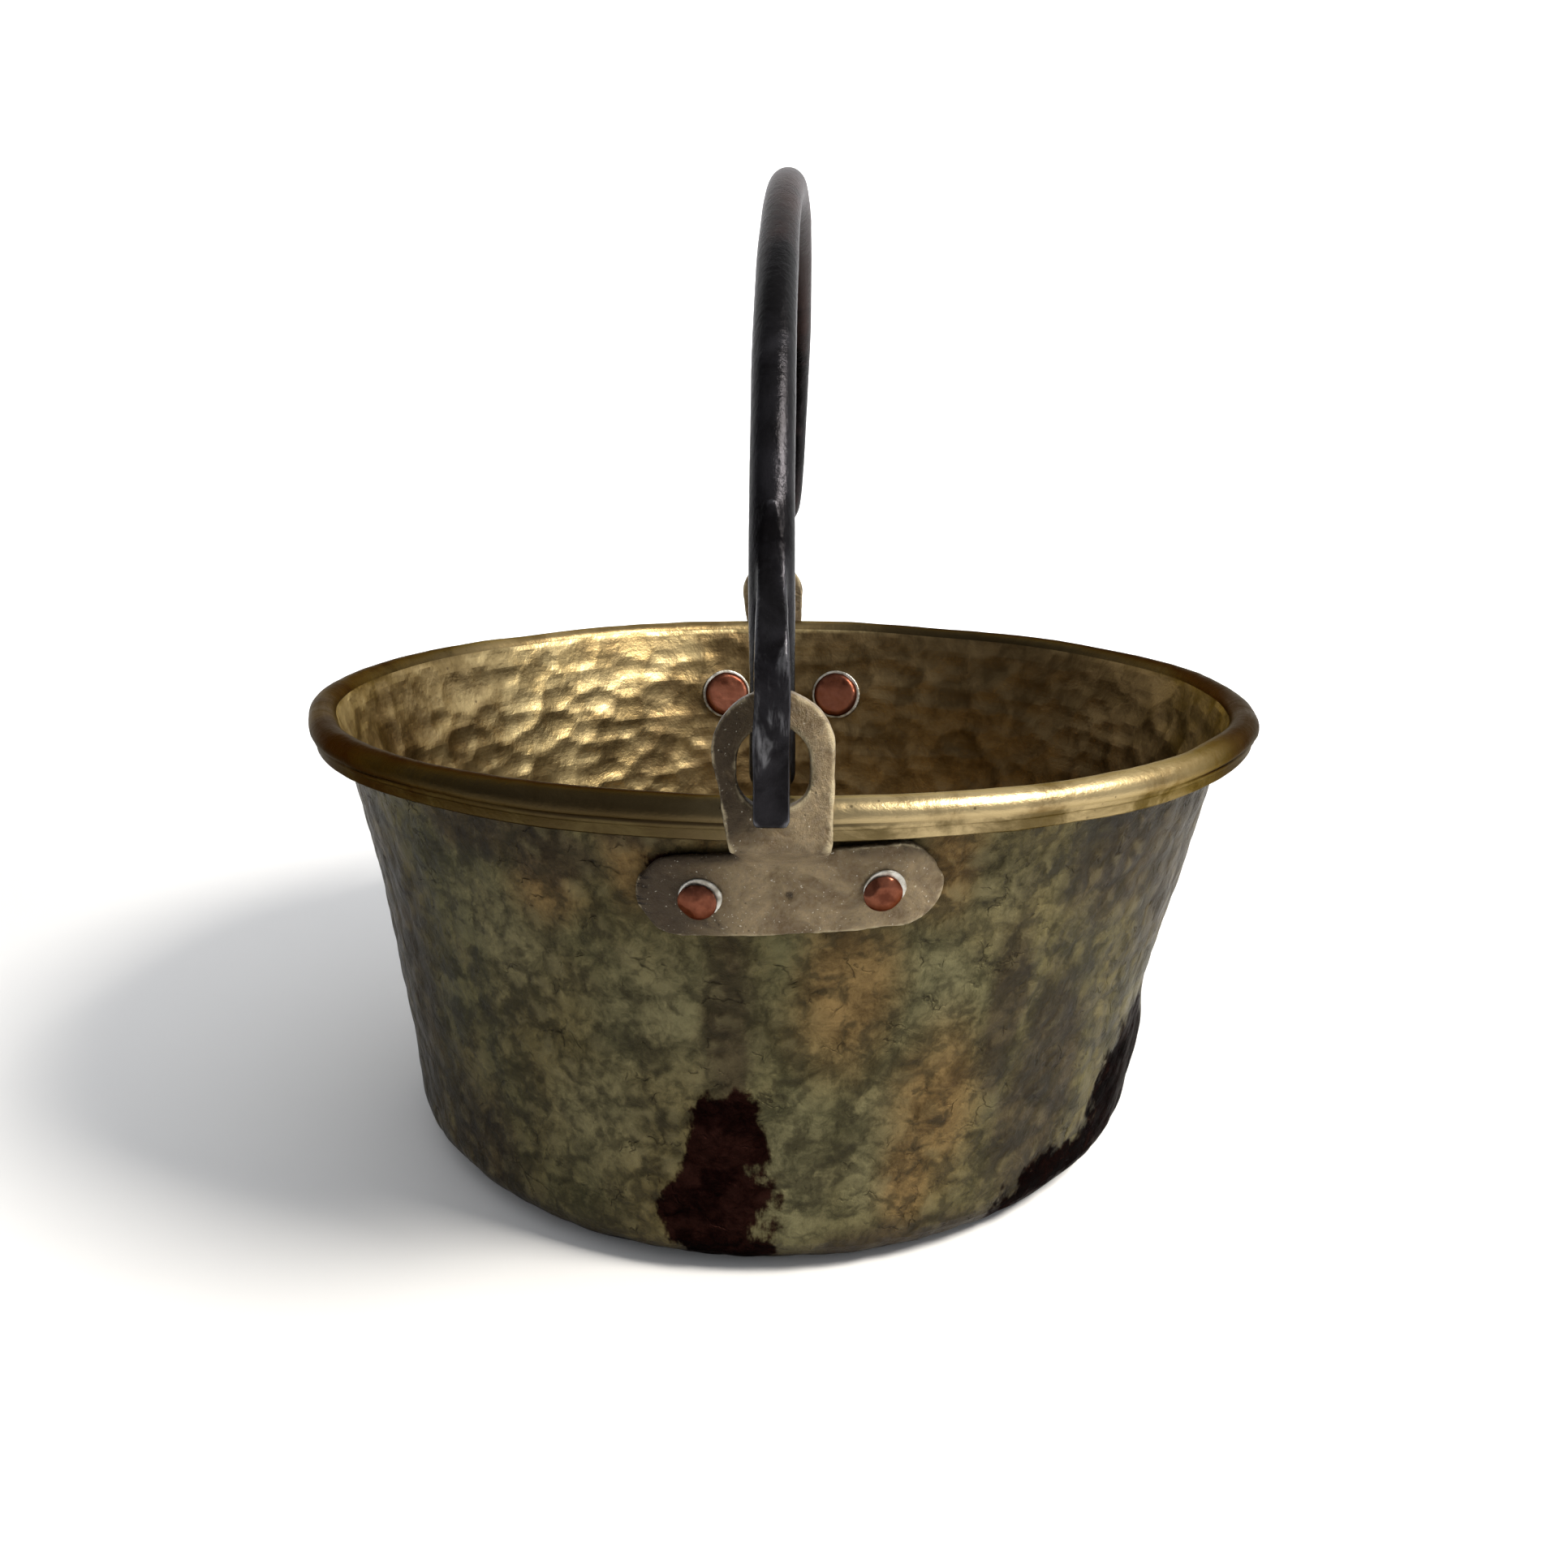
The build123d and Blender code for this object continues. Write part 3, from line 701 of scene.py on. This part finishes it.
def pan_section():
    """The closed section as (zone, points), from the middle of the base, out, up and back."""
    wall = meeting_point(
        CORNER_CENTRE, WALL_CURVE + CORNER_RADIUS, CURL_CENTRE, WALL_CURVE - WIRE_SIDE
    )
    foot = atan2(wall[1] - CORNER_CENTRE[1], wall[0] - CORNER_CENTRE[0])
    neck = atan2(CURL_CENTRE[1] - wall[1], CURL_CENTRE[0] - wall[0]) % (2 * pi)
    lip = arc(CURL_CENTRE, CURL_RADIUS, CURL_END, CURL_END, 1)[0]
    low = lip - (0.1 * LIP_DROP, LIP_DROP)
    rings = np.linspace(0.06, 1, 15) * BASE_FLAT_RADIUS
    base = np.stack([rings, np.zeros(15)], 1)
    return [
        ("outside", base[:-1]),
        ("outside", arc(CORNER_CENTRE, CORNER_RADIUS, -pi / 2, foot, 9)[:-1]),
        ("outside", arc(wall, WALL_CURVE, foot + pi, neck, 66)),
        ("hidden", arc(CURL_CENTRE, WIRE_SIDE, neck, CURL_END, 7)[1:]),
        ("hidden", np.array([low - (SHEET, 0)])),
        ("rim", np.array([low - (0.15 * SHEET, 0.0001), low + (0.0001, 0.0003)])),
        ("rim", arc(CURL_CENTRE, CURL_RADIUS, CURL_END, CREASE - 0.22, 3)),
        ("rim", arc(CURL_CENTRE, CURL_RADIUS - 0.0002, CREASE - 0.07, CREASE + 0.07, 2)),
        ("rim", arc(CURL_CENTRE, CURL_RADIUS, CREASE + 0.22, neck, 16)),
        ("inside", arc(wall, WALL_CURVE + SHEET, neck, foot + pi, 66)[1:]),
        ("inside", arc(CORNER_CENTRE, CORNER_RADIUS - SHEET, foot, -pi / 2, 9)[1:]),
        ("inside", base[-2::-1] + (0, SHEET)),
    ]


def pan_mesh():
    """The raised sheet as one closed mesh, with its hammer marks, dents and wandering rim."""
    zones = np.concatenate([[name] * len(points) for name, points in pan_section()])
    section = np.concatenate([points for _, points in pan_section()])
    rows = len(section)
    tangent = np.gradient(section, axis=0)
    tangent /= np.linalg.norm(tangent, axis=1, keepdims=True)
    steps = np.linalg.norm(np.diff(section, axis=0, prepend=[[0, 0]]), axis=1)
    run = np.cumsum(steps)
    total = run[-1] + section[-1, 0]
    along = np.where(zones == "inside", total - run, run)

    turn = np.tile(np.arange(COLUMNS) / COLUMNS, rows)
    row = np.repeat(np.arange(rows), COLUMNS)
    radius, height = section[row, 0], section[row, 1]
    zone, far = zones[row], along[row]
    angle = turn * 360
    around = 2 * pi * turn
    place = np.stack([radius * np.sin(around), -radius * np.cos(around), height], 1)
    share = height / PAN_TOP

    out = zones == "outside"
    outside_radius = lambda s: np.interp(s, along[out], section[out, 0])
    marks_out, tone_out = hammer_marks(far, turn, radius, outside_radius, OUTSIDE_BLOW, 11)
    marks_in, tone_in = hammer_marks(
        far, turn, radius, outside_radius, INSIDE_BLOW, 23, lean=0.55
    )
    ridge = np.select([zone == "outside", zone == "inside"], [marks_out, marks_in], 0.3)
    fade = step(PAN_TOP - height, 0.008, 0.016)
    flat = 0.4 + 0.6 * step(radius, BASE_FLAT_RADIUS * 0.9, BASE_FLAT_RADIUS * 1.05)
    depths = [OUTSIDE_DEPTH, INSIDE_DEPTH]
    depth = np.select([zone == "outside", zone == "inside"], depths, 0.0) * fade * flat
    # Outside, domes with valleys between. Inside, bowls with ridges between.
    out_by = depth * np.where(zone == "outside", -ridge, ridge - 1)
    rim = zone == "rim"
    out_by += rim * (0.00018 * lumps(place, 0.014, 5) + 0.00007 * lumps(place, 0.005, 6))
    lift = np.arctan2(height - CURL_CENTRE[1], radius - CURL_CENTRE[0])
    crease = rim * np.exp(-(((lift - CREASE) / 0.12) ** 2)) * (radius > CURL_CENTRE[0])
    crease *= 0.55 + 0.45 * lumps(place, 0.045, 10)
    out_by -= 0.00045 * crease

    near_lug = np.minimum(abs(angle_gap(angle, 1)), abs(angle_gap(angle, 180)))
    free = step(near_lug, 17, 30) + (1 - step(share, 0.45, 0.68))
    free = np.clip(free, 0, 1)
    sway = 0.0011 * lumps(place, 0.075, 7) + 0.0005 * lumps(place, 0.028, 8)
    for at, at_share, width, deep in DENTS:
        wide = radians(1) * angle_gap(angle, at) * radius
        away = np.hypot(wide, (share - at_share) * PAN_TOP) / width
        sway -= deep * np.exp(-(away**2) * 1.6)
    sway *= free * step(radius, 0.05, BASE_FLAT_RADIUS)
    rise = 0.0006 * (lumps(np.stack([place[:, 0], place[:, 1], 0 * height], 1), 0.060, 9) - 0.6)
    rise *= step(share, 0.7, 1.0) * step(near_lug, 12, 30)

    normal = np.stack([tangent[:, 1], -tangent[:, 0]], 1)[row]
    shown = zone != "hidden"
    radius = radius + sway + shown * normal[:, 0] * out_by
    height = height + rise + shown * normal[:, 1] * out_by
    height = np.maximum(height, 0.0)
    points = np.stack([radius * np.sin(around), -radius * np.cos(around), height], 1)
    points[:, 0] += BASE_ASIDE * (1 - step(share, -0.3, 0.95))

    grid = np.arange(rows * COLUMNS).reshape(rows, COLUMNS)
    beside = np.roll(grid, -1, axis=1)
    quads = np.stack([grid[:-1], beside[:-1], beside[1:], grid[1:]], 2).reshape(-1, 4)
    under, over = rows * COLUMNS, rows * COLUMNS + 1
    faces = quads.tolist()
    faces += [(under, b, a) for a, b in zip(grid[0].tolist(), beside[0].tolist())]
    faces += [(a, b, over) for a, b in zip(grid[-1].tolist(), beside[-1].tolist())]
    middle = points[:COLUMNS].mean(0)[0]
    points = np.vstack([points, [[middle, 0, height[0]], [middle, 0, height[-1]]]])
    mesh = bpy.data.meshes.new("pan")
    mesh.from_pydata(points.tolist(), [], faces)

    finish = np.select([zones == "inside", zones == "rim"], [1, 2], 0)
    finish = np.concatenate([np.repeat(finish[1:], COLUMNS), np.zeros(COLUMNS), np.ones(COLUMNS)])
    mesh.polygons.foreach_set("material_index", finish.astype(np.int32))

    def store(name, values, ends=(0.0, 0.0)):
        attribute(mesh, name, np.concatenate([values, ends]))

    store("ridge", ridge, (0.3, 0.3))
    store("tone", np.where(zone == "outside", tone_out, tone_in), (0.5, 0.5))
    store("round", angle / 360, (0.0, 0.0))
    store("over", np.where(rim, far, 0.0))
    store("soot_and_shadow", nearest_patch(angle, share, SOOT_AND_SHADOW + unseen_patches(41, 4, 0.12)))
    store("brown", nearest_patch(angle, share, BROWN + unseen_patches(42, 13)))
    store("warm", nearest_patch(angle, share, WARM + unseen_patches(43, 10)))
    store("pale", nearest_patch(angle, share, PALE + unseen_patches(44, 14)))
    store("lip", rim * step(-lift, -CREASE, 0.05 - CREASE) * (radius > CURL_CENTRE[0]))
    store("foot", 1 - step(share, 0.0, 0.22), (1.0, 0.0))
    # Inside: tarnish and painted shade towards the right and the left side, and darker towards the
    # bottom.
    inside_tarnish_and_shade = 0.5 + 0.5 * np.cos(np.radians(angle_gap(angle, 122)))
    inside_tarnish_and_shade += 0.45 * step(-abs(angle_gap(angle, -80)), -50, -15)
    # On the rim: a painted dark reflection at the front left, and tarnish and painted shade at the
    # left end, the right end and the back right.
    rim_tarnish_and_shade = np.maximum(
        step(-abs(angle_gap(angle, -32)), -50, -22),
        0.80 * step(-abs(angle_gap(angle, 110)), -85, -40),
    )
    rim_tarnish_and_shade = np.maximum(rim_tarnish_and_shade, 0.60 * step(-abs(angle_gap(angle, -90)), -50, -20))
    rim_tarnish_and_shade = np.maximum(rim_tarnish_and_shade, 0.75 * step(-abs(angle_gap(angle, 80)), -30, -12))
    store("tarnish_and_shade", np.where(rim, rim_tarnish_and_shade, inside_tarnish_and_shade + 0.25 * (1 - step(share, 0.0, 0.2))))
    # The painted highlight on the rim's front right.
    store("lit_front_highlight", rim * step(-abs(angle_gap(angle, 22)), -34, -8))
    store("crease", crease)
    return mesh


# --- Pieces skinned over their CAD shapes ----------------------------------------------------
def lug(side, material):
    """A casting: its surface rolls a little, and a punch mark sits in the plate."""
    node = f"lug_{side}"
    piece = skin_of(node, f"cast_{node}", 0.0006, 9)
    mesh = piece.data
    low, high = (np.array(corner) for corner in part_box(node))
    seed = 60 + SIDES.index(side)
    points = coordinates(mesh)
    plate_top = low[2] + PLATE_TOP
    bend = step(-abs(points[:, 2] - plate_top + 0.0032), -0.0060, -0.0015)[:, None]
    points += bend * (relaxed(mesh, 40) - points)
    move_vertices(mesh, points)

    out = normals(mesh)
    rough = 0.00024 * lumps(points, 0.006, seed) + 0.00010 * lumps(points, 0.0022, seed + 5)
    front = -1 if side == "front" else 1
    middle = (low[0] + high[0]) / 2
    away = np.hypot(points[:, 0] - middle, points[:, 2] - low[2] - PUNCH_HEIGHT)
    crater = 0.5 * np.exp(-(((away - 0.0023) / 0.0007) ** 2)) - np.exp(-((away / 0.0014) ** 2))
    rough += 0.00034 * crater * step(out[:, 1] * front, 0.5, 0.8)
    across = (points[:, 0] - low[0]) / (high[0] - low[0])
    if side == "back":
        across = 1 - across
    end = 1 - step(across, 0.015, 0.075)
    rough -= 0.0006 * end * step(lumps(points * (0.3, 0.3, 1), 0.0014, seed + 9), 0.0, 0.6)
    move_vertices(mesh, points + out * rough[:, None])
    worn_edges(mesh, 8)
    # Painted shadow under the rim on the plate's top edge beside the stem, painted shade on the
    # stem's left above the plate, and dirt with painted shade over the left half.
    under_rim_shadow = step(-abs(points[:, 2] - plate_top), -0.0050, 0.0)
    under_rim_shadow *= step(abs(across - 0.5), 0.10, 0.2)
    shaded = step(points[:, 2], plate_top, plate_top + 0.010) * step(-across, -0.50, -0.37)
    attribute(mesh, "dirt_and_shade", 0.85 * step(-across, -0.48, -0.03) + 0.5 * under_rim_shadow + 0.45 * shaded)
    attribute(mesh, "nick", end)
    stands_for(piece, node, "pan", material)


def rivet(place, material):
    """A rivet with its heads dressed by flat hammer blows."""
    node = f"rivet_{place}"
    piece = skin_of(node, f"copper_{node}", 0.0004, 3)
    mesh = piece.data
    points = coordinates(mesh)
    reach = np.hypot(points[:, 0], points[:, 1])
    outer = points[reach > reach.max() - 0.0008].mean(0)
    inner = points[reach < reach.min() + 0.0008].mean(0)
    axis = (outer - inner) / np.linalg.norm(outer - inner)
    random = np.random.default_rng(sum(map(ord, place)))
    for head, blows, lean, cut in ((outer, 8, 0.75, 0.00045), (inner, 2, 0.20, 0.00012)):
        way = axis if head is outer else -axis
        for _ in range(blows):
            tip = way + lean * random.normal(size=3)
            tip /= np.linalg.norm(tip)
            if tip @ way < 0.35:
                continue
            level = points @ tip
            top = level.max() - cut * random.uniform(0.5, 1.2)
            points -= np.maximum(level - top, 0)[:, None] * tip * 0.9
    move_vertices(mesh, points)
    points += normals(mesh) * (0.00006 * lumps(points, 0.002, 70))[:, None]
    move_vertices(mesh, points)
    worn_edges(mesh, 5)
    attribute(mesh, "outside", step((points - inner) @ axis, 0.004, 0.006))
    stands_for(piece, node, "pan", material)


def washer(where, place, material):
    """A washer that the rivet has pressed out of true."""
    node = f"washer_{where}_{place}"
    piece = skin_of(node, f"tin_{node}", 0.0003, 2)
    points = coordinates(piece.data)
    shift = 0.00014 * lumps(points, 0.0035, sum(map(ord, place)))
    points += normals(piece.data) * shift[:, None]
    if where == "outer":
        middle = points.mean(0)
        points = middle + WASHER_SCALE * (points - middle) + WASHER_SHIFT
    move_vertices(piece.data, points)
    stands_for(piece, node, "pan", material)


def bail(material):
    """The forged bail: a round bar left slightly lumpy by the hammer, with drawn-out ends."""
    piece = skin_of("bail", "forged_bail", 0.0007, 5)
    mesh = piece.data
    points, out = coordinates(mesh), normals(mesh)
    lumpy = 0.00018 * lumps(points, 0.024, 81) + 0.00005 * lumps(points, 0.009, 82)
    end = step(abs(points[:, 1]), 0.1490, 0.1545)
    lumpy += end * 0.00030 * lumps(points * (1, 1, 0.6), 0.0055, 83)
    move_vertices(mesh, points + out * lumpy[:, None])
    worn_edges(mesh, 6)
    top = CAD_BOX[1][2]
    height = step(points[:, 2], top - 0.060, top - 0.006)
    back = step(points[:, 1], -0.02, 0.06)
    attribute(mesh, "rust", np.clip(0.75 * height + 0.35 * back, 0, 1))
    attribute(mesh, "flat", step(abs(points[:, 1]), 0.150, 0.156) * step(abs(out[:, 1]), 0.6, 0.9))
    stands_for(piece, "bail", "bail", material)


# --- Light, floor and camera -----------------------------------------------------------------
def softbox(name, azimuth, elevation, distance, size, power, colour=(1, 1, 1)):
    """A square area light aimed at the pan. Azimuth 0 is in front, positive to the right."""
    light = bpy.data.lights.new(name, "AREA")
    light.size = size
    light.energy = power
    light.color = colour
    turn, lift = radians(azimuth), radians(elevation)
    target = Vector((0, 0, PAN_TOP))
    away = Vector((sin(turn) * cos(lift), -cos(turn) * cos(lift), sin(lift)))
    lamp = bpy.data.objects.new(name, light)
    lamp.location = target + distance * away
    lamp.rotation_euler = away.to_track_quat("Z", "Y").to_euler()
    bpy.context.scene.collection.objects.link(lamp)


def stage():
    """A pale sweep under and behind the pan, and light from the front right."""
    low = CAD_BOX[0][2] - 0.0002
    turn = np.linspace(0, pi / 2, 12)
    bend = [(1.2 + 0.5 * sin(t), low + 0.5 - 0.5 * cos(t)) for t in turn]
    line = [(-FLOOR_REACH, low), *bend, (1.7, 3.2)]
    corners = [(x, y, z) for y, z in line for x in (-FLOOR_REACH, FLOOR_REACH)]
    faces = [(i, i + 1, i + 3, i + 2) for i in range(0, len(corners) - 2, 2)]
    mesh = bpy.data.meshes.new("sweep")
    mesh.from_pydata(corners, [], faces)
    mesh.materials.append(pale_sweep())
    new_object("sweep", mesh)

    world = bpy.data.worlds.new("surround")
    world.use_nodes = True
    tree = world.node_tree
    background = tree.nodes["Background"]
    background.inputs["Color"].default_value = (0.95, 0.97, 1.0, 1)
    place = tree.nodes.new("ShaderNodeTexCoord")
    facing = tree.nodes.new("ShaderNodeVectorMath")
    facing.operation = "DOT_PRODUCT"
    facing.inputs[1].default_value = (0.72, -0.30, 0.62)
    spread = tree.nodes.new("ShaderNodeMapRange")
    for key, value in (("From Min", -0.6), ("From Max", 0.9), ("To Min", 0.08), ("To Max", 0.70)):
        spread.inputs[key].default_value = value
    tree.links.new(place.outputs["Generated"], facing.inputs[0])
    tree.links.new(facing.outputs["Value"], spread.inputs["Value"])
    tree.links.new(spread.outputs["Result"], background.inputs["Strength"])
    bpy.context.scene.world = world
    bpy.context.scene.view_settings.view_transform = "Standard"
    softbox("key", 62, 44, 1.1, 0.30, 20, (1.0, 0.95, 0.87))


def camera():
    """A camera at arm's length in front, a little above the rim and looking down into it."""
    data = bpy.data.cameras.new("camera")
    data.sensor_width = 36
    data.lens = LENS
    data.clip_start = 0.01
    eye = bpy.data.objects.new("camera", data)
    eye.location = (CAMERA_ASIDE, -CAMERA_BACK, CURL_CENTRE[1] + CAMERA_RISE)
    pitch = Matrix.Rotation(pi / 2 - CAMERA_DOWN, 3, "X")
    eye.rotation_euler = (pitch @ Matrix.Rotation(CAMERA_ROLL, 3, "Z")).to_euler()
    bpy.context.scene.collection.objects.link(eye)
    bpy.context.scene.camera = eye


# --- Putting it together ---------------------------------------------------------------------
def build():
    camera()
    stage()
    pan = new_object("hammered_pan", pan_mesh())
    pan.data.materials.append(patinated_brass())
    pan.data.materials.append(golden_brass())
    pan.data.materials.append(rim_brass())
    stands_for(pan, "pan_shell", "pan", None)
    bronze, red, tin = cast_bronze(), copper(), dull_tin()
    for side in SIDES:
        lug(side, bronze)
        for hand in HANDS:
            place = f"{side}_{hand}"
            rivet(place, red)
            for where in ("outer", "inner"):
                washer(where, place, tin)
    bail(black_iron())
    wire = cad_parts["rim_wire"]
    wire.data.materials.clear()
    wire.data.materials.append(bare_wire())


build()
